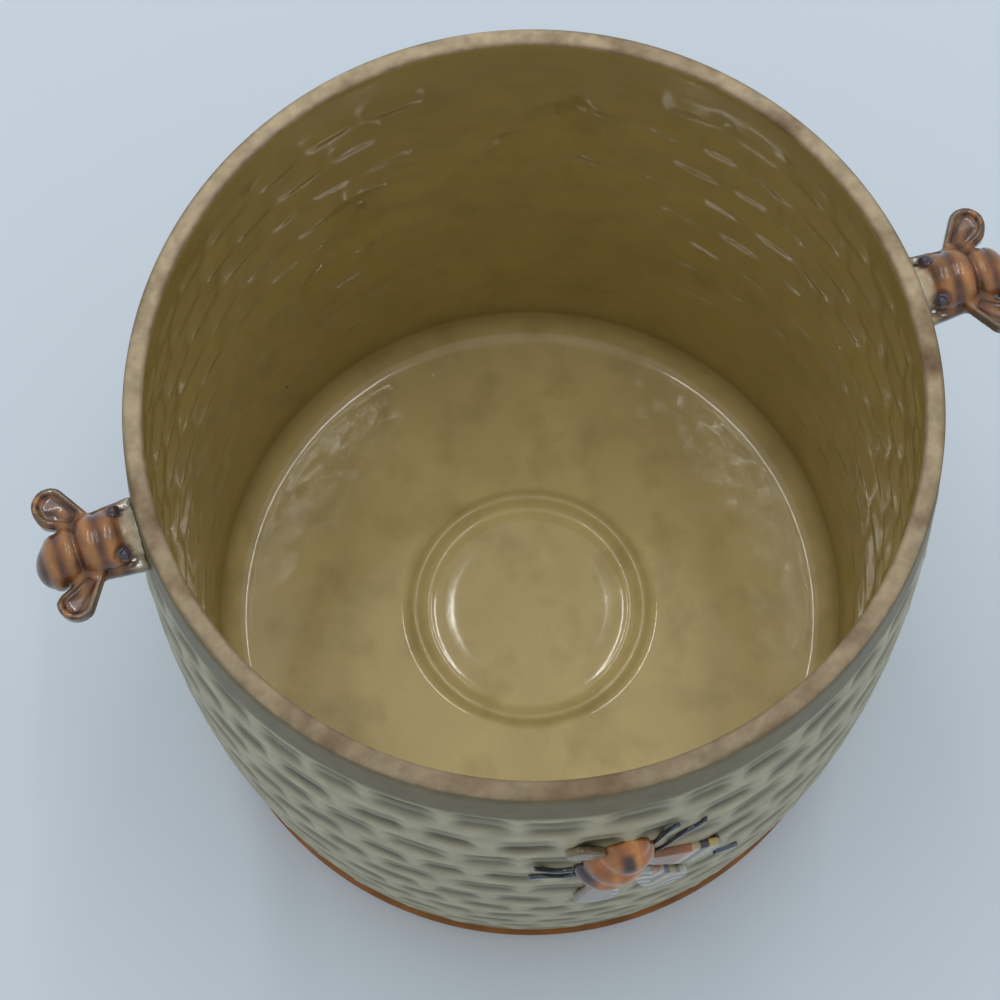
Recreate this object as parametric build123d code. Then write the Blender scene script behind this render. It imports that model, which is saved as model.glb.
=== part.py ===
from build123d import *
import os
from math import atan2, cos, radians, sin

# Cookie jar pot in slip cast earthenware: a barrel shaped wall cast with basket weave courses,
# a brown foot ring, two bee shaped side handles and three bees in relief on the wall.
# Millimetres, +Z up, origin under the middle of the foot, handles on the X axis, front bee at -Y.

# Driving sizes of the pot
RIM_RADIUS = 71.0
RIM_WALL = 3.5
HEIGHT = 149.0
BELLY_RADIUS = 77.1
BELLY_HEIGHT = 62.0
WALL_FOOT_RADIUS = 76.2
WALL = 4.2
FLOOR_TOP = 7.8
FLOOR_UNDER = 3.4
COVE_RADIUS = 6.0

# Basket weave courses in the wall and the plain band under the rim
PLAIN_BAND = 10.0
COURSES = 11
COURSE_DEPTH = 0.7

# Raised ring on the floor inside
RIDGE_OUTER = 28.3
RIDGE_INNER = 25.3
RIDGE_HEIGHT = 1.5

# Foot ring
FOOT_HEIGHT = 6.0
FOOT_RADIUS = 74.3
FOOT_TOP_RADIUS = 75.8
FOOT_INNER = 67.0
EDGE = 0.8

# Side handles: distances out from the wall face at the handle's height
HANDLE_Z = 140.0
NECK_OUT = 2.2
NECK_RADIUS = 4.2
NECK_FLARE = 6.8
BEE_LENGTH = 18.8
WING_ROOT = (8.2, 4.4)
WING_TIP = (15.8, 11.2)
WING_WIDTH = 6.8
WING_THICK = 2.6
LEG_THICK = 1.9

# Bees in relief: direction round the wall in degrees and height of each middle
RELIEF_BEES = {"front": (-92.0, 95.0), "rear_right": (71.0, 100.0), "rear_left": (105.0, 70.8)}
RELIEF_WING = 1.5
RELIEF_LEG = 0.8
RELIEF_LEG_WIDTH = 1.3
RELIEF_SINK = 2.2
RELIEF_ROOT = 1.5
REACH = 15.0


def belly_radius(z):
    """Radius of the smooth wall at height z, a parabola through the belly and the rim."""
    span = HEIGHT - BELLY_HEIGHT
    return BELLY_RADIUS - (BELLY_RADIUS - RIM_RADIUS) * ((z - BELLY_HEIGHT) / span) ** 2


def wall_edge(z_low, z_high, offset):
    """One arc of the wall's outline, moved outwards by offset."""
    middle = (z_low + z_high) / 2
    return ThreePointArc(
        (belly_radius(z_low) + offset, z_low),
        (belly_radius(middle) + offset, middle),
        (belly_radius(z_high) + offset, z_high),
    )


def turn_profile(edges):
    """Solid of revolution about Z from outline edges in radius and height."""
    face = make_face(Wire(edges))
    return revolve(Plane.XZ * face, Axis.Z)


def barrel(offset):
    """The smooth barrel, filled, with its wall moved outwards by offset."""
    low, high = FOOT_HEIGHT / 2, HEIGHT
    side = wall_edge(low, high, offset)
    rest = Polyline((belly_radius(high) + offset, high), (0, high), (0, low), (belly_radius(low) + offset, low))
    return turn_profile(side.edges() + rest.edges())


def weave_edges():
    """Outline of the woven wall from the plain band down to the foot, one hollow arc a course."""
    top = HEIGHT - PLAIN_BAND
    pitch = (top - FOOT_HEIGHT) / COURSES
    edges = []
    for course in range(COURSES):
        z_high = top - course * pitch
        z_low = z_high - pitch
        z_mid = (z_low + z_high) / 2
        edges += ThreePointArc(
            (belly_radius(z_high) - COURSE_DEPTH, z_high),
            (belly_radius(z_mid), z_mid),
            (belly_radius(z_low) - COURSE_DEPTH, z_low),
        ).edges()
    return edges


def make_jar_body():
    """Wall, floor, cove and floor ridge in one casting, open at the top."""
    top = HEIGHT - PLAIN_BAND
    rim_in = RIM_RADIUS - RIM_WALL
    cove_top = FLOOR_TOP + COVE_RADIUS
    cove_out = belly_radius(cove_top) - WALL
    bend = COVE_RADIUS * (1 - cos(radians(45)))
    wall_mid = (cove_top + HEIGHT) / 2
    ridge_mid = (RIDGE_OUTER + RIDGE_INNER) / 2
    band = wall_edge(top, HEIGHT - EDGE, 0)
    edges = band.edges()
    edges += Polyline((belly_radius(top), top), (belly_radius(top) - COURSE_DEPTH, top)).edges()
    edges += weave_edges()
    edges += Polyline(
        (belly_radius(FOOT_HEIGHT) - COURSE_DEPTH, FOOT_HEIGHT),
        (FOOT_INNER, FOOT_HEIGHT),
        (FOOT_INNER, FLOOR_UNDER),
        (0, FLOOR_UNDER),
        (0, FLOOR_TOP),
        (RIDGE_INNER, FLOOR_TOP),
    ).edges()
    edges += ThreePointArc(
        (RIDGE_INNER, FLOOR_TOP), (ridge_mid, FLOOR_TOP + RIDGE_HEIGHT), (RIDGE_OUTER, FLOOR_TOP)
    ).edges()
    edges += Polyline((RIDGE_OUTER, FLOOR_TOP), (cove_out - COVE_RADIUS, FLOOR_TOP)).edges()
    edges += ThreePointArc(
        (cove_out - COVE_RADIUS, FLOOR_TOP), (cove_out - bend, FLOOR_TOP + bend), (cove_out, cove_top)
    ).edges()
    edges += ThreePointArc(
        (cove_out, cove_top), (belly_radius(wall_mid) - WALL, wall_mid), (rim_in, HEIGHT - EDGE)
    ).edges()
    edges += Polyline(
        (rim_in, HEIGHT - EDGE),
        (rim_in + EDGE, HEIGHT),
        (RIM_RADIUS - EDGE, HEIGHT),
        (belly_radius(HEIGHT - EDGE), HEIGHT - EDGE),
    ).edges()
    return turn_profile(edges)


def make_foot_ring():
    """Brown foot ring, turned with a rounded lower edge, that carries the wall."""
    outer = Polyline(
        (FOOT_INNER, 0),
        (FOOT_RADIUS - EDGE, 0),
        (FOOT_RADIUS, EDGE),
        (FOOT_TOP_RADIUS, FOOT_HEIGHT),
        (FOOT_INNER, FOOT_HEIGHT),
        (FOOT_INNER, 0),
    )
    return turn_profile(outer.edges())


def ringed_body(outline):
    """Spindle turned about its own X axis from points on its rings, one bulging arc a ring.

    outline holds the points between the arcs and the arcs' middles in turn. An end on the axis
    gets a round cap whose centre lies on the axis.
    """
    points = list(outline)
    if points[0][1] == 0:
        points.insert(1, cap_middle(points[1], points[0][0]))
    if points[-1][1] == 0:
        points.insert(-1, cap_middle(points[-2], points[-1][0]))
    edges = []
    for index in range(0, len(points) - 2, 2):
        edges += ThreePointArc(points[index], points[index + 1], points[index + 2]).edges()
    first, last = points[0], points[-1]
    closing = [last] + [(end[0], 0) for end in (last, first) if end[1] > 0] + [first]
    edges += Polyline(*closing).edges()
    return revolve(make_face(Wire(edges)), Axis.X)


def cap_middle(rim, tip):
    """Middle point of the round cap from a rim point (x, radius) to its tip on the X axis."""
    depth = abs(tip - rim[0])
    radius = (depth ** 2 + rim[1] ** 2) / (2 * depth)
    side = 1 if tip > rim[0] else -1
    half_angle = atan2(rim[1], radius - depth) / 2
    return (tip - side * radius * (1 - cos(half_angle)), radius * sin(half_angle))


def leaf_face(root, tip, width):
    """Flat teardrop outline of a wing, from its narrow root to its round tip."""
    (x0, y0), (x1, y1) = root, tip
    length = ((x1 - x0) ** 2 + (y1 - y0) ** 2) ** 0.5
    ux, uy = (x1 - x0) / length, (y1 - y0) / length
    centre = (x1 - ux * width / 2, y1 - uy * width / 2)
    narrow = width * 0.22
    half = width / 2
    left_root = (x0 - uy * narrow, y0 + ux * narrow)
    right_root = (x0 + uy * narrow, y0 - ux * narrow)
    left = (centre[0] - uy * half, centre[1] + ux * half)
    right = (centre[0] + uy * half, centre[1] - ux * half)
    edges = Line(left_root, left).edges()
    edges += ThreePointArc(left, (x1, y1), right).edges()
    edges += Line(right, right_root).edges()
    edges += Line(right_root, left_root).edges()
    return make_face(Wire(edges))


def handle_parts(jar):
    """Neck, ringed body, wings, legs and eyes of the left handle, pointing out along -X."""
    wall = belly_radius(HANDLE_Z)
    place = Plane(origin=(-wall, 0, HANDLE_Z), x_dir=(-1, 0, 0), z_dir=(0, 0, 1))
    neck = ringed_body([(-3.0, NECK_FLARE), (-0.2, NECK_RADIUS + 0.5), (NECK_OUT, NECK_RADIUS)])
    body = ringed_body([
        (NECK_OUT, 3.9), (4.4, 5.4), (6.5, 5.1),
        (8.8, 5.4), (10.6, 3.5),
        (12.2, 5.0), (13.9, 4.8),
        (15.4, 4.9), (16.6, 3.9),
        (BEE_LENGTH, 0),
    ])
    parts = {"neck": neck, "bee_body": body}
    for name, side in (("front_wing", 1), ("rear_wing", -1)):
        root = (WING_ROOT[0], side * WING_ROOT[1])
        tip = (WING_TIP[0], side * WING_TIP[1])
        wing = extrude(leaf_face(root, tip, WING_WIDTH), WING_THICK / 2, both=True)
        dish_root = (root[0] + 1.6, root[1] + side * 1.5)
        dish_tip = (tip[0] - 0.8, tip[1] - side * 0.8)
        dish = extrude(leaf_face(dish_root, dish_tip, WING_WIDTH - 2.4), WING_THICK)
        parts[name] = wing - Pos(0, 0, WING_THICK / 2 - 0.8) * dish - body
    legs = []
    for side in (1, -1):
        leg = Pos(2.6, side * 5.7, -1.0) * Rot(0, 0, side * -5.2) * Box(13.2, LEG_THICK, LEG_THICK)
        legs.append(leg - neck - body - parts["front_wing"] - parts["rear_wing"])
    parts["legs"] = legs
    parts["eyes"] = [Pos(3.0, side * 4.1, 3.4) * Sphere(1.3) - body - neck for side in (1, -1)]
    solids = {}
    for name, shape in parts.items():
        shapes = shape if isinstance(shape, list) else [shape]
        cut = [place * one - jar for one in shapes]
        solids[name] = [piece for one in cut for piece in one.solids() if piece.volume > 0.5]
    return solids


def relief_parts(jar, core, azimuth, middle_z):
    """Body, wings and legs of a bee in relief, each cut to sit on the woven wall."""
    wall = belly_radius(middle_z)
    outwards = (cos(radians(azimuth)), sin(radians(azimuth)), 0)
    tangent = (-sin(radians(azimuth)), cos(radians(azimuth)), 0)
    place = Plane(origin=(wall * outwards[0], wall * outwards[1], middle_z), x_dir=tangent, z_dir=outwards)
    spindle = ringed_body([
        (-11.0, 0), (-7.0, 5.0),
        (-4.4, 6.2), (-1.8, 5.6),
        (1.0, 6.4), (3.6, 5.2),
        (6.4, 5.4), (8.6, 3.6),
        (11.0, 0),
    ])
    body = place * (Pos(-6.5, 13.0, -RELIEF_SINK) * Rot(0, 0, 68) * spindle) - core
    outlines = [
        ((-2.0, 11.5), (13.5, -4.5), 8.5),
        ((-3.0, 4.0), (6.0, -22.0), 9.0),
        ((-7.0, 4.5), (-10.0, -21.0), 8.5),
        ((-7.0, 19.0), (-15.0, 24.5), 5.0),
    ]
    wing_skin = barrel(RELIEF_WING) - core
    leg_skin = barrel(RELIEF_LEG) - core
    wings = []
    for root, tip, width in outlines:
        wing = place * extrude(leaf_face(root, tip, width), REACH, both=True)
        wings.append((wing & wing_skin) - body - jar)
    for later in range(1, len(wings)):
        for earlier in wings[:later]:
            wings[later] = wings[later] - earlier
    legs = []
    for start, end in (((-11.0, 6.5), (-22.0, 4.0)), ((-11.5, 9.0), (-21.0, 11.0)),
                       ((-1.5, 16.0), (5.0, 26.0)), ((1.0, 12.5), (10.5, 22.5)), ((14.5, -14.0), (20.0, -22.0))):
        leg = place * extrude(leaf_face(start, end, RELIEF_LEG_WIDTH), REACH, both=True)
        leg = (leg & leg_skin) - body - jar
        for wing in wings:
            leg = leg - wing
        legs.append(leg)
    solids = {"bee_body": [body - jar], "bee_wings": wings, "bee_legs": legs}
    return {
        name: [piece for shape in shapes for piece in shape.solids() if piece.volume > 0.3]
        for name, shapes in solids.items()
    }


def save(name, solids):
    """Write one node; a node of several like pieces is a group of separate solids."""
    shape = solids[0] if len(solids) == 1 else Compound(solids)
    export_step(shape, "parts/" + name + ".step")


os.makedirs("parts", exist_ok=True)
jar_body = make_jar_body()
save("jar_body", [jar_body])
save("foot_ring", [make_foot_ring()])
for part_name, part_solids in handle_parts(jar_body).items():
    save("left_handle_" + part_name, part_solids)
    save("right_handle_" + part_name, [mirror(one, Plane.YZ) for one in part_solids])
wall_core = barrel(-RELIEF_ROOT)
for bee_name, (bee_azimuth, bee_z) in RELIEF_BEES.items():
    for part_name, part_solids in relief_parts(jar_body, wall_core, bee_azimuth, bee_z).items():
        save(bee_name + "_" + part_name, part_solids)
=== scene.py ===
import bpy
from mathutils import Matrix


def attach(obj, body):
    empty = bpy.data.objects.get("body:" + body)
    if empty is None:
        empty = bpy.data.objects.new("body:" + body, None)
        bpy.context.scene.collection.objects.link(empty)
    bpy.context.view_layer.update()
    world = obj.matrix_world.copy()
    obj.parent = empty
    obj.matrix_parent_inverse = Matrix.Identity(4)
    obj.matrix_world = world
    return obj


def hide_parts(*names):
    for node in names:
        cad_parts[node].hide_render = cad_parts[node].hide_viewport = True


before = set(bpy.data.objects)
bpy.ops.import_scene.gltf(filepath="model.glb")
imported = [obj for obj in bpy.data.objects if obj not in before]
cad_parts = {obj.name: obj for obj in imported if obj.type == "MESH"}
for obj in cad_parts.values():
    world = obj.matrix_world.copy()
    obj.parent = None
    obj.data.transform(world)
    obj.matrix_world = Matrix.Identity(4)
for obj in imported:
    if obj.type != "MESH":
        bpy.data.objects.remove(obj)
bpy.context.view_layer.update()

# View of the pot: the camera stands about 0.44 m off and looks steeply down into the mouth.
# Its sizes come from matching the rim, floor, foot and outline of the pot in the photograph.
import math
import bpy
import numpy as np
from mathutils import Matrix, Vector

TURN = math.radians(16.7)
LIFT = math.radians(72.1)
ROLL = math.radians(-1.44)
DISTANCE = 0.437
AIM_SIDE = -0.0062
AIM_HEIGHT = 0.0888
FOCAL_IN_WIDTHS = 2.2
SENSOR = 36.0

right = Vector((math.cos(TURN), -math.sin(TURN), 0))
away = Vector((math.sin(TURN), math.cos(TURN), 0))
back = -math.cos(LIFT) * away + Vector((0, 0, math.sin(LIFT)))
up = back.cross(right)
camera_right = math.cos(ROLL) * right + math.sin(ROLL) * up
camera_up = math.cos(ROLL) * up - math.sin(ROLL) * right
aim = AIM_SIDE * right + Vector((0, 0, AIM_HEIGHT))
camera_data = bpy.data.cameras.new("camera")
camera_data.sensor_width = SENSOR
camera_data.lens = FOCAL_IN_WIDTHS * SENSOR
camera_data.clip_start = 0.01
camera = bpy.data.objects.new("camera", camera_data)
bpy.context.scene.collection.objects.link(camera)
camera.matrix_world = Matrix.Translation(aim + DISTANCE * back) @ Matrix(
    (camera_right, camera_up, back)
).transposed().to_4x4()
bpy.context.scene.camera = camera
bpy.context.scene.view_settings.view_transform = "Standard"

# Pale blue grey table top under plain soft light: an even sky, and above each side a narrow strip
# lamp that gives the paired shine lines on the floor ring and the glints on the far wall.
bpy.ops.object.select_all(action="DESELECT")
bpy.ops.mesh.primitive_plane_add(size=6.0, location=(0, 0, 0))
table = bpy.context.object
table.name = "table_top"
table_paint = bpy.data.materials.new("table_paint")
table_paint.use_nodes = True
table_shader = table_paint.node_tree.nodes["Principled BSDF"]
table_shader.inputs["Base Color"].default_value = (0.59, 0.69, 0.80, 1)
table_shader.inputs["Roughness"].default_value = 0.8
table.data.materials.append(table_paint)

world = bpy.data.worlds.new("soft_sky")
bpy.context.scene.world = world
world.use_nodes = True
world.node_tree.nodes["Background"].inputs["Color"].default_value = (1.0, 0.98, 0.95, 1)
world.node_tree.nodes["Background"].inputs["Strength"].default_value = 0.70

LAMP_WIDTH, LAMP_LENGTH = 0.025, 1.1
LAMP_AWAY, LAMP_HEIGHT = 0.42, 1.3


def strip_lamp(name, side, power):
    """A long narrow lamp above one side of the pot, running away from the camera."""
    lamp_data = bpy.data.lights.new(name, "AREA")
    lamp_data.shape = "RECTANGLE"
    lamp_data.size, lamp_data.size_y = LAMP_WIDTH, LAMP_LENGTH
    lamp_data.energy = power
    lamp = bpy.data.objects.new(name, lamp_data)
    bpy.context.scene.collection.objects.link(lamp)
    over_side = side * right + Vector((0, 0, LAMP_HEIGHT))
    lamp_back = over_side.normalized()
    lamp.matrix_world = Matrix.Translation(over_side + LAMP_AWAY * away) @ Matrix(
        (away.cross(lamp_back), away, lamp_back)
    ).transposed().to_4x4()


strip_lamp("window_left", -0.28, 2.8)
strip_lamp("window_right", 0.28, 2.6)

# The pot: one slip cast piece with wall, floor, cove and raised floor ring, glazed olive inside and
# pale grey green outside. The weave is pressed by the mould, so its back shows as dimples inside.
RIM_RADIUS = 0.0710
RIM_WALL = 0.0035
HEIGHT = 0.1490
BELLY_RADIUS = 0.0771
BELLY_HEIGHT = 0.0620
WALL = 0.0042
FLOOR_TOP = 0.0078
FLOOR_UNDER = 0.0034
FOOT_TOP = 0.0060
FOOT_INNER = 0.0670
PLAIN_BAND = 0.0100
EDGE = 0.0008
COVE = 0.0060
RIDGE_MIDDLE, RIDGE_HALF, RIDGE_HEIGHT = 0.0266, 0.0016, 0.0014
GROOVE_MIDDLE, GROOVE_HALF, GROOVE_DEPTH = 0.0233, 0.0014, 0.0003
DISH_EDGE, DISH_FALL, DISH_DEPTH = 0.0185, 0.0012, 0.0007
DISH_REACH, RING_REACH = 0.0225, 0.0308
COURSES, CELLS = 11, 36
STEPS = CELLS * 11
WEAVE_TOP = HEIGHT - PLAIN_BAND
PITCH = (WEAVE_TOP - FOOT_TOP) / COURSES
PRESS, PRESS_INSIDE = 0.0008, 0.0006
# Where the two dark dashes of a cell lie in its course, as shares of the pitch from its top.
UPPER_DASH, LOWER_DASH = 0.27, 0.64
# Azimuth in degrees and middle height of each relief bee.
RELIEF_BEES = {"front": (-92.0, 0.095), "rear_right": (71.0, 0.100), "rear_left": (105.0, 0.0708)}
# Depth of each hollow behind a relief bee, then its middle across and up, lean and half sizes.
HOLLOWS = (
    (0.0020, -0.0065, 0.012, 0.0, 0.0060, 0.010),
    (0.0012, 0.0060, -0.003, -0.5, 0.0035, 0.011),
    (0.0012, -0.0090, -0.010, 0.0, 0.0030, 0.009),
)


def wall_radius(z):
    """Radius of the smooth outside at height z, the same parabola as the pot's solid."""
    share = (z - BELLY_HEIGHT) / (HEIGHT - BELLY_HEIGHT)
    return BELLY_RADIUS - (BELLY_RADIUS - RIM_RADIUS) * share ** 2


def ring_height(r):
    """Height of the floor at radius r, out to the ring's foot: shallow dish, groove and ridge."""
    ridge = RIDGE_HEIGHT * math.exp(-abs((r - RIDGE_MIDDLE) / RIDGE_HALF) ** 2.2)
    groove = GROOVE_DEPTH * math.exp(-((r - GROOVE_MIDDLE) / GROOVE_HALF) ** 2)
    dish = DISH_DEPTH / (1 + math.exp((r - DISH_EDGE) / DISH_FALL))
    return FLOOR_TOP + ridge - groove - dish


def profile_line():
    """Outline of the pot from the rim down the outside, under the floor and back up the inside."""
    points = [(wall_radius(z), z, "band") for z in np.linspace(HEIGHT - EDGE, WEAVE_TOP, 5)]
    weave_rows = np.linspace(WEAVE_TOP, FOOT_TOP, COURSES * 9 + 1)[1:]
    points += [(wall_radius(z), z, "weave") for z in weave_rows]
    points += [(FOOT_INNER, FOOT_TOP, "under"), (FOOT_INNER, FLOOR_UNDER, "under")]
    points += [(r, FLOOR_UNDER, "under") for r in (0.045, 0.02, 0.0)]
    ring_rows = [*np.linspace(0, DISH_REACH, 16), *np.linspace(DISH_REACH + 0.0003, RING_REACH, 34)]
    points += [(r, ring_height(r), "floor") for r in ring_rows]
    cove_top = FLOOR_TOP + COVE
    cove_in = wall_radius(cove_top) - WALL - COVE
    points += [(r, FLOOR_TOP, "floor") for r in np.linspace(RING_REACH + 0.0002, cove_in - 0.001, 8)]
    for angle in np.linspace(0, math.pi / 2, 9):
        points.append((cove_in + COVE * math.sin(angle), cove_top - COVE * math.cos(angle), "floor"))
    for z in np.linspace(cove_top, HEIGHT - EDGE, 70)[1:]:
        share = (z - cove_top) / (HEIGHT - cove_top)
        points.append((wall_radius(z) - WALL - (RIM_WALL - WALL) * share, z, "inside"))
    inner = RIM_RADIUS - RIM_WALL
    points += [(inner + EDGE * 0.3, HEIGHT - EDGE * 0.3, "rim"), (inner + EDGE, HEIGHT, "rim")]
    points += [(r, HEIGHT, "rim") for r in np.linspace(inner + EDGE, RIM_RADIUS - EDGE, 5)[1:]]
    points += [(RIM_RADIUS - EDGE * 0.3, HEIGHT - EDGE * 0.3, "rim"), points[0]]
    return points


def weave(azimuth, z):
    """How deep the weave is pressed in, 0 on the raised crossings to 1 in the flats between.

    own is each cell's share from 0 to 1, which varies the dashes as hand carving does.
    """
    course = np.floor((WEAVE_TOP - z) / PITCH)
    bow = 0.05 * np.sin(azimuth * CELLS / 2 + course * 2.3) + 0.04 * np.sin(azimuth * 11 + course)
    down = (WEAVE_TOP - z) / PITCH - course + bow
    wander = 0.10 * np.sin(azimuth * 5 + course * 1.7) + 0.06 * np.sin(azimuth * 13 + course * 2.9)
    along = azimuth / (2 * math.pi) * CELLS + 0.5 * (course % 2) + wander
    cell = np.floor(along)
    own = np.sin(cell * 12.9 + course * 78.2) * 0.5 + 0.5
    half = 0.43 + 0.05 * own
    across = np.clip(1.15 * (1 - (np.abs(along - cell - 0.5) / half) ** 2.6), 0, 1)
    upper = np.exp(-((down - UPPER_DASH - 0.03 * own) / 0.10) ** 2) * (0.45 + 0.35 * own)
    lower = np.exp(-((down - LOWER_DASH) / 0.19) ** 2) * (0.75 + 0.25 * (1 - own))
    crossing = 0.18 * np.sin(down * math.pi) ** 2
    return np.clip(across * np.clip(upper + lower, 0, 1) - crossing * (1 - across), -0.2, 1)


def relief_back(azimuth, z):
    """Hollow backs of the three relief bees, seen as dents on the inside wall."""
    dent = np.zeros_like(azimuth)
    for degrees, middle in RELIEF_BEES.values():
        turned = (azimuth - math.radians(degrees) + math.pi) % (2 * math.pi) - math.pi
        side, rise = turned * BELLY_RADIUS, z - middle
        for depth, across, up, lean, wide, tall in HOLLOWS:
            near = ((side - across - rise * lean) / wide) ** 2 + ((rise - up) / tall) ** 2
            dent += depth * np.exp(-near)
    return dent


def points_of(piece):
    """The piece's points as rows of x, y and z, in metres."""
    points = np.empty(len(piece.data.vertices) * 3)
    piece.data.vertices.foreach_get("co", points)
    return points.reshape(-1, 3)


def reshape(piece, points):
    """Moves the piece's points to new places, in metres."""
    piece.data.vertices.foreach_set("co", points.ravel())
    piece.data.update()


def blend(colours, tint, share):
    """Colours moved towards a tint by each point's share, 0 to 1."""
    return colours * (1 - share[:, None]) + np.array(tint) * share[:, None]


def paint(piece, colours):
    """Gives each of the piece's points its own colour, for the glaze on it to follow."""
    layer = piece.data.attributes.new("tint", "FLOAT_COLOR", "POINT")
    opaque = np.ones((len(colours), 1))
    layer.data.foreach_set("color", np.concatenate([colours, opaque], axis=1).ravel())


line = profile_line()
last_row = len(line) - 1
bpy.ops.object.select_all(action="DESELECT")
bpy.ops.mesh.primitive_grid_add(
    x_subdivisions=STEPS, y_subdivisions=last_row, size=2.0, location=(0, 0, 0)
)
pot = bpy.context.object
pot.name = "jar_pot"
grid = points_of(pot)
azimuths = (grid[:, 0] + 1) * math.pi
rows = np.rint((grid[:, 1] + 1) / 2 * last_row).astype(int)
radii, heights, zones = (np.array(column)[rows] for column in zip(*line))
woven, inside, rim = zones == "weave", zones == "inside", zones == "rim"
pressed = weave(azimuths, heights)
foot_fade = np.clip((heights - FOOT_TOP) / 0.002, 0, 1)
inner_fade = np.clip((WEAVE_TOP - heights) / 0.006, 0, 1) * np.clip((heights - 0.014) / 0.008, 0, 1)
slump = 0.00012 * np.sin(azimuths * 3 + heights * 90) + 0.00010 * np.sin(azimuths * 8 + heights * 210)
dents = PRESS_INSIDE * (0.5 - pressed) + slump + relief_back(azimuths, heights)
radii = radii - woven * PRESS * pressed * foot_fade + inside * dents * inner_fade
rim_wave = 0.00015 * np.sin(azimuths * 6) + 0.0001 * np.sin(azimuths * 17 + 1)
heights = heights - rim * np.abs(rim_wave)
reshape(pot, np.stack([radii * np.cos(azimuths), radii * np.sin(azimuths), heights], axis=1))

# The pot's colours: dark dashes in the weave, painted shade on the inside wall, a darkening round the
# cove and olive under the rim, and dirt along the rim's two edges, most of it at the front where the
# pot is handled.
# The inside wall's tint is the floor's glaze made darker: painted shade, as the light reaches the wall
# at a slant.
ZONE_TINTS = {
    "band": (0.130, 0.114, 0.058), "weave": (0.37, 0.355, 0.240), "under": (0.50, 0.40, 0.27),
    "floor": (0.78, 0.65, 0.31), "inside": (0.43, 0.335, 0.10), "rim": (0.39, 0.32, 0.21),
}
DASH_TINT = (0.066, 0.058, 0.030)
OLIVE_TINT = (0.27, 0.205, 0.062)
DIRT_TINT = (0.10, 0.065, 0.035)
tints = np.array([ZONE_TINTS[zone] for zone in zones])
tints = blend(tints, DASH_TINT, np.clip(pressed * 1.15, 0, 1) * woven)
tints = blend(tints, ZONE_TINTS["band"], np.clip((heights - WEAVE_TOP + 0.002) / 0.003, 0, 1) * woven)
# Darker round the cove, where the floor meets the inside wall, blended towards black.
cove_darkening = np.exp(-((heights - 0.0135) / 0.004) ** 2) * (inside | (zones == "floor"))
tints = blend(tints, (0, 0, 0), 0.35 * cove_darkening)
tints = blend(tints, OLIVE_TINT, np.clip((heights - 0.09) / 0.06, 0, 1) * inside)
inner_edge = np.exp(-((radii - RIM_RADIUS + RIM_WALL) / 0.0007) ** 2) * rim
outer_edge = np.exp(-((radii - RIM_RADIUS) / 0.0005) ** 2) * rim
patches = 0.5 + 0.5 * np.sin(azimuths * 9 + 2 * np.sin(azimuths * 4))
front = np.clip(0.5 - 0.5 * np.sin(azimuths + TURN), 0, 1)
dirt = (0.55 + 0.25 * patches) * inner_edge + (0.45 * patches + 0.5 * front) * outer_edge
tints = blend(tints, DIRT_TINT, np.clip(np.maximum(dirt, 0.52 * front ** 2 * rim), 0, 0.9))
paint(pot, tints)
bpy.ops.object.mode_set(mode="EDIT")
bpy.ops.mesh.select_all(action="SELECT")
bpy.ops.mesh.remove_doubles(threshold=0.00001)
bpy.ops.mesh.delete_loose(use_verts=True, use_edges=True, use_faces=False)
bpy.ops.mesh.select_all(action="SELECT")
bpy.ops.mesh.normals_make_consistent(inside=False)
bpy.ops.object.mode_set(mode="OBJECT")
bpy.ops.object.shade_smooth()


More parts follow.
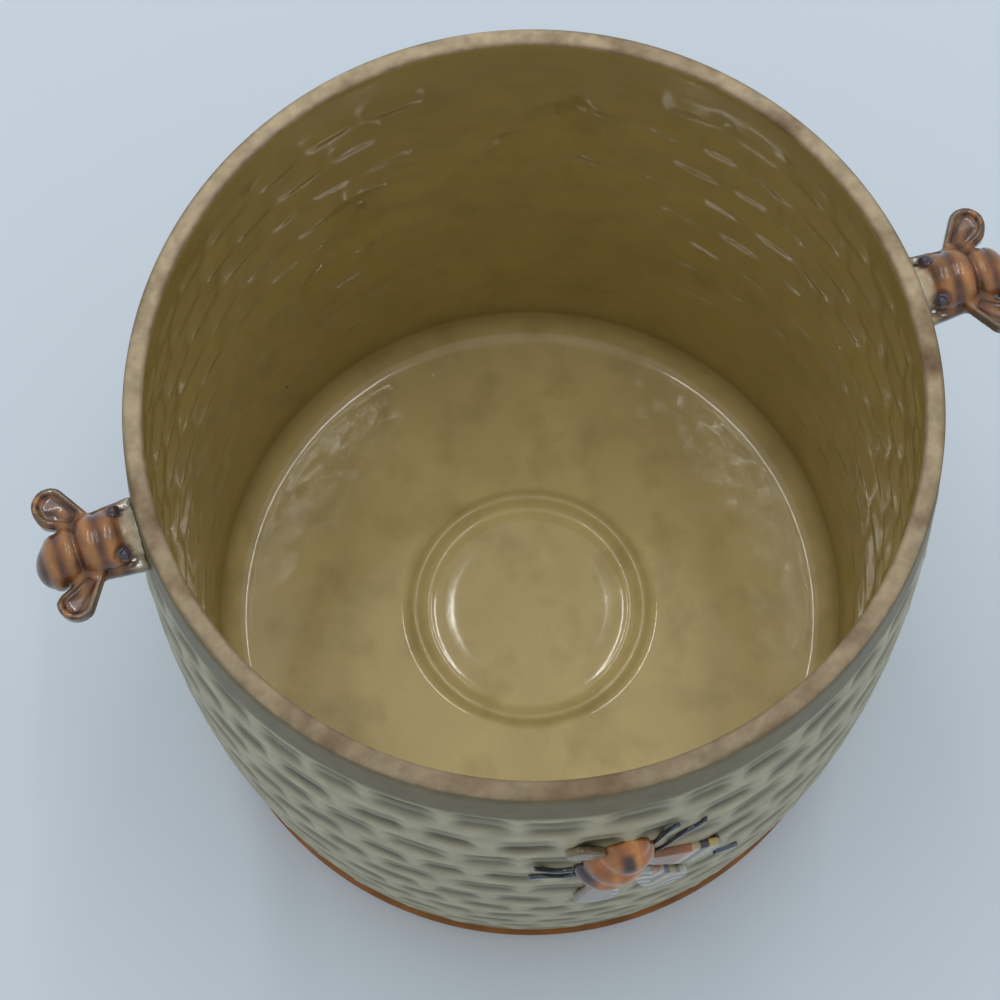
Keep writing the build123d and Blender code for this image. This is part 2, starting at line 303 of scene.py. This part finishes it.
def glaze_group():
    """Effect group: cloudy mottle, fine specks and stains over a tint, with a height for bump."""
    group = bpy.data.node_groups.new("fired_glaze", "ShaderNodeTree")
    for name, kind in (("Tint", "NodeSocketColor"), ("Stain", "NodeSocketColor")):
        group.interface.new_socket(name, in_out="INPUT", socket_type=kind)
    for name in ("Cloud Scale", "Cloud Amount", "Speck Amount", "Stain Amount"):
        group.interface.new_socket(name, in_out="INPUT", socket_type="NodeSocketFloat")
    group.interface.new_socket("Colour", in_out="OUTPUT", socket_type="NodeSocketColor")
    group.interface.new_socket("Height", in_out="OUTPUT", socket_type="NodeSocketFloat")
    nodes, links = group.nodes, group.links
    entry, leave = nodes.new("NodeGroupInput"), nodes.new("NodeGroupOutput")
    where = nodes.new("ShaderNodeTexCoord")
    cloud = nodes.new("ShaderNodeTexNoise")
    cloud.inputs["Detail"].default_value = 5
    links.new(where.outputs["Object"], cloud.inputs["Vector"])
    links.new(entry.outputs["Cloud Scale"], cloud.inputs["Scale"])
    level = nodes.new("ShaderNodeMapRange")
    level.inputs["From Min"].default_value, level.inputs["From Max"].default_value = 0.3, 0.7
    level.inputs["To Min"].default_value, level.inputs["To Max"].default_value = -1.0, 1.0
    links.new(cloud.outputs["Fac"], level.inputs["Value"])
    amount = nodes.new("ShaderNodeMath")
    amount.operation = "MULTIPLY_ADD"
    amount.inputs[2].default_value = 1.0
    links.new(level.outputs["Result"], amount.inputs[0])
    links.new(entry.outputs["Cloud Amount"], amount.inputs[1])
    shade = nodes.new("ShaderNodeVectorMath")
    shade.operation = "SCALE"
    links.new(entry.outputs["Tint"], shade.inputs[0])
    links.new(amount.outputs[0], shade.inputs["Scale"])
    blot = nodes.new("ShaderNodeTexNoise")
    blot.inputs["Scale"].default_value, blot.inputs["Detail"].default_value = 95, 8
    links.new(where.outputs["Object"], blot.inputs["Vector"])
    blot_mask = nodes.new("ShaderNodeMapRange")
    blot_mask.inputs["From Min"].default_value, blot_mask.inputs["From Max"].default_value = 0.50, 0.72
    links.new(blot.outputs["Fac"], blot_mask.inputs["Value"])
    stain_mask = nodes.new("ShaderNodeMath")
    stain_mask.operation = "MULTIPLY"
    links.new(blot_mask.outputs["Result"], stain_mask.inputs[0])
    links.new(entry.outputs["Stain Amount"], stain_mask.inputs[1])
    stained = nodes.new("ShaderNodeMix")
    stained.data_type = "RGBA"
    links.new(stain_mask.outputs[0], stained.inputs["Factor"])
    links.new(shade.outputs["Vector"], stained.inputs["A"])
    links.new(entry.outputs["Stain"], stained.inputs["B"])
    speck = nodes.new("ShaderNodeTexVoronoi")
    speck.inputs["Scale"].default_value = 130
    links.new(where.outputs["Object"], speck.inputs["Vector"])
    dot = nodes.new("ShaderNodeMapRange")
    dot.inputs["From Min"].default_value, dot.inputs["From Max"].default_value = 0.05, 0.09
    dot.inputs["To Min"].default_value, dot.inputs["To Max"].default_value = 1.0, 0.0
    links.new(speck.outputs["Distance"], dot.inputs["Value"])
    rare = nodes.new("ShaderNodeMath")
    rare.operation = "GREATER_THAN"
    rare.inputs[1].default_value = 0.93
    links.new(speck.outputs["Color"], rare.inputs[0])
    pick = nodes.new("ShaderNodeMath")
    pick.operation = "MULTIPLY"
    links.new(dot.outputs["Result"], pick.inputs[0])
    links.new(rare.outputs[0], pick.inputs[1])
    speck_mask = nodes.new("ShaderNodeMath")
    speck_mask.operation = "MULTIPLY"
    links.new(pick.outputs[0], speck_mask.inputs[0])
    links.new(entry.outputs["Speck Amount"], speck_mask.inputs[1])
    specked = nodes.new("ShaderNodeMix")
    specked.data_type = "RGBA"
    specked.inputs["B"].default_value = (0.03, 0.02, 0.01, 1)
    links.new(speck_mask.outputs[0], specked.inputs["Factor"])
    links.new(stained.outputs["Result"], specked.inputs["A"])
    links.new(specked.outputs["Result"], leave.inputs["Colour"])
    links.new(cloud.outputs["Fac"], leave.inputs["Height"])
    return group


fired_glaze = glaze_group()


def ceramic(name, tint, stain, cloud, specks, stains, roughness, coat, bump):
    """A fired surface. tint is a colour, or None to follow the piece's own tint attribute."""
    material = bpy.data.materials.new(name)
    material.use_nodes = True
    nodes, links = material.node_tree.nodes, material.node_tree.links
    shader = nodes["Principled BSDF"]
    shader.inputs["Roughness"].default_value = roughness
    shader.inputs["Coat Weight"].default_value = coat
    shader.inputs["Coat Roughness"].default_value = 0.06
    effect = nodes.new("ShaderNodeGroup")
    effect.node_tree = fired_glaze
    effect.inputs["Stain"].default_value = (*stain, 1)
    effect.inputs["Cloud Scale"].default_value, effect.inputs["Cloud Amount"].default_value = cloud
    effect.inputs["Speck Amount"].default_value = specks
    effect.inputs["Stain Amount"].default_value = stains
    if tint is None:
        attribute = nodes.new("ShaderNodeAttribute")
        attribute.attribute_name = "tint"
        links.new(attribute.outputs["Color"], effect.inputs["Tint"])
    else:
        effect.inputs["Tint"].default_value = (*tint, 1)
    links.new(effect.outputs["Colour"], shader.inputs["Base Color"])
    relief = nodes.new("ShaderNodeBump")
    relief.inputs["Strength"].default_value = bump
    relief.inputs["Distance"].default_value = 0.0004
    links.new(effect.outputs["Height"], relief.inputs["Height"])
    links.new(relief.outputs["Normal"], shader.inputs["Normal"])
    return material


weave_glaze = ceramic(
    "weave_glaze", None, stain=(0.17, 0.16, 0.105), cloud=(240, 0.14), specks=0.0, stains=0.35,
    roughness=0.42, coat=0.0, bump=0.2,
)
weave_glaze.node_tree.nodes["Principled BSDF"].inputs["Specular IOR Level"].default_value = 0.22
inside_glaze = ceramic(
    "inside_glaze", None, stain=(0.20, 0.13, 0.03), cloud=(60, 0.08), specks=0.9, stains=0.25,
    roughness=0.10, coat=0.0, bump=0.25,
)
bare_clay = ceramic(
    "bare_clay", None, stain=(0.13, 0.08, 0.04), cloud=(420, 0.20), specks=0.8, stains=1.0,
    roughness=0.85, coat=0.0, bump=0.7,
)
for material in (weave_glaze, inside_glaze, bare_clay):
    pot.data.materials.append(material)
WEAVE_SLOT, INSIDE_SLOT, CLAY_SLOT = 0, 1, 2
centres = [face.center for face in pot.data.polygons]
face_radii = np.array([math.hypot(centre.x, centre.y) for centre in centres])
face_heights = np.array([centre.z for centre in centres])
bare = (face_heights > HEIGHT - EDGE * 1.05) | (face_heights < FOOT_TOP + 0.0003)
outer = face_radii > wall_radius(face_heights) - 2 * PRESS
kinds = np.where(bare, CLAY_SLOT, np.where(outer, WEAVE_SLOT, INSIDE_SLOT))
pot.data.polygons.foreach_set("material_index", kinds.astype(np.int32))
pot.data.update()
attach(pot, "root")
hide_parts("jar_body")

# Foot ring: the lowest band, brushed with a brown glaze that runs thin at its edges.
# It is cast with the wall and takes the wear of standing on a table.
foot_glaze = ceramic(
    "foot_glaze", (0.27, 0.105, 0.022), stain=(0.10, 0.035, 0.01), cloud=(150, 0.22), specks=0.2,
    stains=0.5, roughness=0.35, coat=0.3, bump=0.2,
)
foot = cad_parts["foot_ring"]
foot.data.materials.clear()
foot.data.materials.append(foot_glaze)


def fired_copy(name, node_names, voxel, rounds):
    """One soft edged piece from copies of CAD nodes, as clay parts look once luted and glazed."""
    copies = []
    for node_name in node_names:
        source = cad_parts[node_name]
        twin = bpy.data.objects.new(node_name + "_twin", source.data.copy())
        bpy.context.scene.collection.objects.link(twin)
        copies.append(twin)
    bpy.ops.object.select_all(action="DESELECT")
    for twin in copies:
        twin.select_set(True)
    bpy.context.view_layer.objects.active = copies[0]
    if len(copies) > 1:
        bpy.ops.object.join()
    piece = bpy.context.view_layer.objects.active
    piece.name = name
    bpy.ops.object.mode_set(mode="EDIT")
    bpy.ops.mesh.select_all(action="SELECT")
    bpy.ops.mesh.remove_doubles(threshold=0.000005)
    bpy.ops.object.mode_set(mode="OBJECT")
    remesh = piece.modifiers.new("clay", "REMESH")
    remesh.mode = "VOXEL"
    remesh.voxel_size = voxel
    bpy.ops.object.modifier_apply(modifier="clay")
    soften = piece.modifiers.new("soften", "SMOOTH")
    soften.factor, soften.iterations = 0.5, rounds
    bpy.ops.object.modifier_apply(modifier="soften")
    bpy.ops.object.shade_smooth()
    piece.data.materials.clear()
    return piece


# Side handles: a bee on a short pale neck at each side, pressed in moulds and luted to the wall.
# Copper brown bodies with dark grooves between the rings, and dished wings with dark streaks.
HANDLE_HEIGHT = 0.140
COPPER = np.array((0.15, 0.048, 0.012))
AMBER = (0.40, 0.19, 0.055)
DARK = (0.045, 0.018, 0.010)
CREAM = (0.42, 0.39, 0.27)
INK = np.array((0.020, 0.022, 0.045))
WING_EDGE = (0.13, 0.085, 0.045)
# Distance out from the wall and half width of each groove round the body.
GROOVES = ((0.0065, 0.0007), (0.0106, 0.0011), (0.0139, 0.0006), (0.0172, 0.0010))
RING_START, RING_PITCH = 0.0045, 0.0037
BODY_HALF, NECK_REACH = 0.0062, 0.0032
EYE_OUT, EYE_SIDE, EYE_LIFT, EYE_REACH = 0.0030, 0.0041, 0.0034, 0.00161
WING_OUT, WING_SIDE = 0.0082, 0.0044
TAIL_START, TAIL_DROOP, TAIL_SWING = 0.0095, 0.0024, 0.0010


def handle_place(points):
    """Distance out from the wall, sideways from the middle and up, on either handle."""
    out = np.abs(points[:, 0]) - wall_radius(HANDLE_HEIGHT)
    return out, np.abs(points[:, 1]), points[:, 2] - HANDLE_HEIGHT


def eye_share(points):
    """1 on the two eyes of a handle's bee, falling to 0 round them."""
    out, side, lift = handle_place(points)
    apart = np.sqrt((out - EYE_OUT) ** 2 + (side - EYE_SIDE) ** 2 + (lift - EYE_LIFT) ** 2)
    return np.exp(-(apart / EYE_REACH) ** 6)


def handle_form(points):
    """Eyes sunk into the head, and the tail half drooping a little."""
    out, side, _ = handle_place(points)
    tail = np.clip((out - TAIL_START) / 0.0090, 0, 1) * np.clip((0.0085 - side) / 0.0030, 0, 1)
    moved = points.copy()
    moved[:, 2] -= TAIL_DROOP * tail + 0.0013 * eye_share(points)
    moved[:, 1] -= TAIL_SWING * tail
    return moved


def handle_colours(points):
    """Cream at the neck, amber rings on copper, dark grooves, eyes and streaks, painted shade below
    and light on top.
    """
    out, side, lift = handle_place(points)
    crest = np.clip(0.5 + 0.5 * np.cos((out - RING_START) / RING_PITCH * 2 * math.pi), 0, 1)
    colours = blend(COPPER, AMBER, 0.6 * crest)
    for groove, width in GROOVES:
        patchy = 0.62 + 0.30 * np.sin(points[:, 1] * 900 + lift * 700 + groove * 2000)
        cut = np.exp(-((out - groove) / width) ** 2) * (side < BODY_HALF)
        colours = blend(colours, DARK, patchy * cut)
    across_wing = np.abs((out - WING_OUT) * 0.67 - (side - WING_SIDE) * 0.745)
    wing = np.clip((side - 0.0058) / 0.0010, 0, 1)
    colours = blend(colours, WING_EDGE, wing * np.clip((across_wing - 0.0016) / 0.0006, 0, 1))
    streak = wing * np.exp(-((across_wing - 0.0011) / 0.00045) ** 2) * (lift > 0)
    colours = blend(colours, DARK, 0.9 * streak)
    blotches = np.clip(np.sin(points[:, 1] * 700 + lift * 300), 0, 1)
    colours = blend(colours, DARK, 0.7 * blotches * np.exp(-((out - 0.0036) / 0.0012) ** 2))
    colours = blend(colours, CREAM, np.clip(1 - out / NECK_REACH, 0, 1))
    colours = blend(colours, INK, 0.95 * eye_share(points))
    # Painted shade and light: darker the lower a point lies, down to 0.35 of its colour, and up to
    # 1.10 on top.
    return colours * np.clip(0.72 + lift / 0.008, 0.35, 1.10)[:, None]


bee_glaze = ceramic(
    "bee_glaze", None, stain=(0.07, 0.025, 0.012), cloud=(300, 0.35), specks=0.0, stains=0.8,
    roughness=0.26, coat=0.45, bump=0.4,
)
for side in ("left", "right"):
    prefix = side + "_handle_"
    parts = [prefix + part for part in ("neck", "bee_body", "front_wing", "rear_wing", "legs", "eyes")]
    handle = fired_copy(side + "_bee_handle", parts, 0.00032, 5)
    reshape(handle, handle_form(points_of(handle)))
    paint(handle, handle_colours(points_of(handle)))
    handle.data.materials.append(bee_glaze)
    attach(handle, "root")
    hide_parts(*parts)

# Relief bees: three bees cast with the wall and painted before glazing. The body is orange brown with
# black eyes and tail, the wings are banded, veined or plain, and the legs and feelers are blue black.
ORANGE = np.array((0.36, 0.125, 0.025))
ORANGE_CREST = (0.50, 0.24, 0.06)
SPOT_SHARE = 0.95
SPOT_INK = INK * 0.6 / SPOT_SHARE
# Middle across and up, and half sizes, of the black patches on the body.
BODY_SPOTS = (
    (-0.0050, 0.0205, 0.0013, 0.0017),
    (-0.0030, 0.0062, 0.0015, 0.0020),
    (-0.0128, 0.0130, 0.0022, 0.0034),
)
WING_PALE = np.array((0.38, 0.38, 0.28))
WING_DUSK = (0.20, 0.15, 0.13)
WING_BROWN = (0.22, 0.17, 0.13)
WING_ROOT = (0.30, 0.12, 0.05)
WING_OLIVE = (0.17, 0.145, 0.075)
# Upper limit of each slanting band on the right wing, and its colour, from its tip to its root.
WING_BANDS = (
    (0.0040, (0.42, 0.33, 0.10)), (0.0013, INK * 0.7),
    (-0.0012, (0.42, 0.34, 0.20)), (-0.0032, (0.26, 0.085, 0.020)),
)
STROKE_WAVER = 0.0011


def relief_place(points, degrees, middle):
    """Points as distance right of and above a relief bee's middle, seen from outside."""
    angle = math.radians(degrees)
    across = -points[:, 0] * math.sin(angle) + points[:, 1] * math.cos(angle)
    return across, points[:, 2] - middle


def body_colours(across, rise):
    """Orange brown rings, amber on their crests, with black patches for the eyes and the tail."""
    crest = np.clip(np.sin(across * 1500 + 0.5), 0, 1)
    colours = blend(ORANGE, ORANGE_CREST, 0.6 * crest)
    for spot_across, spot_rise, wide, tall in BODY_SPOTS:
        spot = np.exp(-((across - spot_across) / wide) ** 4 - ((rise - spot_rise) / tall) ** 4)
        colours = blend(colours, SPOT_INK, SPOT_SHARE * spot)
    return colours


def wing_colours(across, rise):
    """Pale with black veins below, banded at the right, brown at the left and olive at the top."""
    veins = np.clip(np.sin(rise * 1500 + 2.2 * np.sin(across * 900)) * 3, 0, 1)
    colours = blend(WING_PALE, INK, 0.9 * veins)
    right_wing = (across > 0.0005) & (rise > -0.0085 + (across - 0.0095) * 0.9)
    colours[right_wing] = WING_DUSK
    slant = (across - 0.0070) * 0.81 - (rise + 0.0018) * 0.59
    for limit, tint in WING_BANDS:
        colours[right_wing & (slant < limit)] = tint
    left_wing = across < -0.0068
    colours[left_wing] = WING_BROWN
    colours[left_wing & (rise < 0.002) & (rise > -0.006)] = WING_ROOT
    colours[rise > 0.0165] = WING_OLIVE
    return colours


ink_glaze = ceramic(
    "ink_glaze", (0.02, 0.03, 0.045), stain=(0.01, 0.01, 0.01), cloud=(400, 0.3), specks=0.0,
    stains=0.3, roughness=0.12, coat=0.7, bump=0.1,
)
for bee, (degrees, middle) in RELIEF_BEES.items():
    body = fired_copy(bee + "_relief_body", [bee + "_bee_body"], 0.00035, 4)
    paint(body, body_colours(*relief_place(points_of(body), degrees, middle)))
    wings = fired_copy(bee + "_relief_wings", [bee + "_bee_wings"], 0.00035, 3)
    paint(wings, wing_colours(*relief_place(points_of(wings), degrees, middle)))
    legs = fired_copy(bee + "_relief_legs", [bee + "_bee_legs"], 0.00018, 9)
    strokes = points_of(legs)
    across, rise = relief_place(strokes, degrees, middle)
    strokes[:, 2] += STROKE_WAVER * np.sin(across * 620 + rise * 240)
    reshape(legs, strokes)
    finishes = (
        (body, "_bee_body", bee_glaze, "bee_glaze"),
        (wings, "_bee_wings", bee_glaze, "wing_glaze"),
        (legs, "_bee_legs", ink_glaze, "dark_glaze"),
    )
    for piece, node, finish, slot in finishes:
        piece.data.materials.append(finish)
        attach(piece, "root")
        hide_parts(bee + node)
